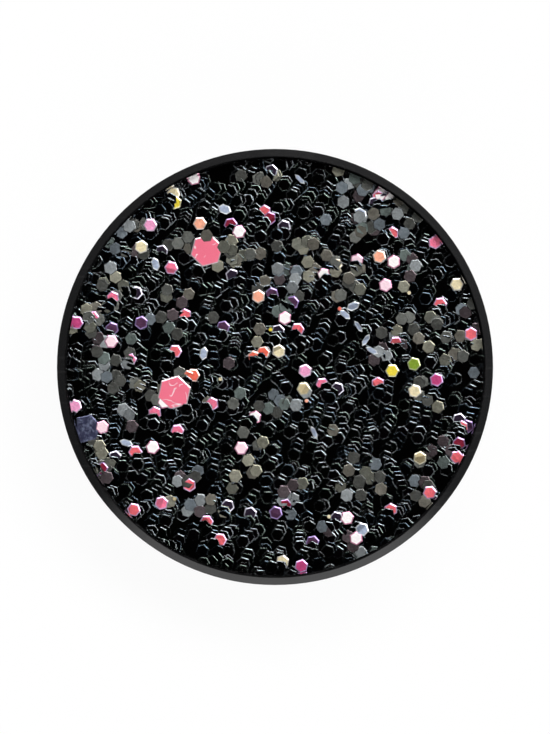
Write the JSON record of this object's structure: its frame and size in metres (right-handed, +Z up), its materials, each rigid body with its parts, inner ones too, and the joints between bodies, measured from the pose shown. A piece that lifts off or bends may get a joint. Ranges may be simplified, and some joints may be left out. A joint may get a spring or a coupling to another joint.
{
  "type": "eyeshadow palette",
  "caption": "Round compact eyeshadow palette with a glitter-inlay lid, a mirror inside it, pressed shades in metal pans and a push-button latch",
  "frame": {"origin": "centre of the underside, on the surface it stands on", "axes": "+Z up, latch button at -Y, hinge at +Y with its pin along X"},
  "size_m": [0.058, 0.058, 0.014],
  "materials": {
    "case_black": "glossy moulded black",
    "tray_black": "fine matt moulded texture",
    "pan_metal": "drawn sheet",
    "shade_1": "pressed powder, black",
    "shade_2": "pressed powder, champagne",
    "shade_3": "pressed powder, coral pink",
    "shade_4": "pressed powder, pewter",
    "shade_5": "pressed powder, plum",
    "shade_6": "pressed powder, antique gold",
    "shade_7": "pressed powder, pearl",
    "glitter": "chunky hexagonal glitter, black with coral, pink, cream and pewter flakes",
    "clear_acrylic": "polished clear acrylic",
    "foam": "foam adhesive",
    "mirror_glass": "silvered glass",
    "frame_black": "satin moulded black",
    "steel": "drawn wire"
  },
  "bodies": {
    "base": {"base_shell": "case_black", "pan_tray": "tray_black", "pan_1": "pan_metal", "pan_2": "pan_metal", "pan_3": "pan_metal", "pan_4": "pan_metal", "pan_5": "pan_metal", "pan_6": "pan_metal", "pan_7": "pan_metal", "shadow_1": "shade_1", "shadow_2": "shade_2", "shadow_3": "shade_3", "shadow_4": "shade_4", "shadow_5": "shade_5", "shadow_6": "shade_6", "shadow_7": "shade_7", "hinge_pin": "steel", "latch_spring": "steel"},
    "lid": {"lid_shell": "case_black", "glitter_disc": "glitter", "clear_cover": "clear_acrylic", "mirror_pad": "foam", "mirror": "mirror_glass", "mirror_frame": "frame_black"},
    "button": {"latch_button": "case_black"}
  },
  "joints": [
    {"name": "lid_hinge", "type": "hinge", "parent": "base", "child": "lid", "pos_m": [0, 0.02628, 0.0077], "axis": [-1, 0, 0], "range_deg": [0, 130]},
    {"name": "button_slide", "type": "slide", "parent": "base", "child": "button", "axis": [0, 1, 0], "range_m": [0, 0.0008], "stiffness_N_per_m": 800, "springref_m": -0.0005, "deforming": ["latch_spring"]}
  ]
}
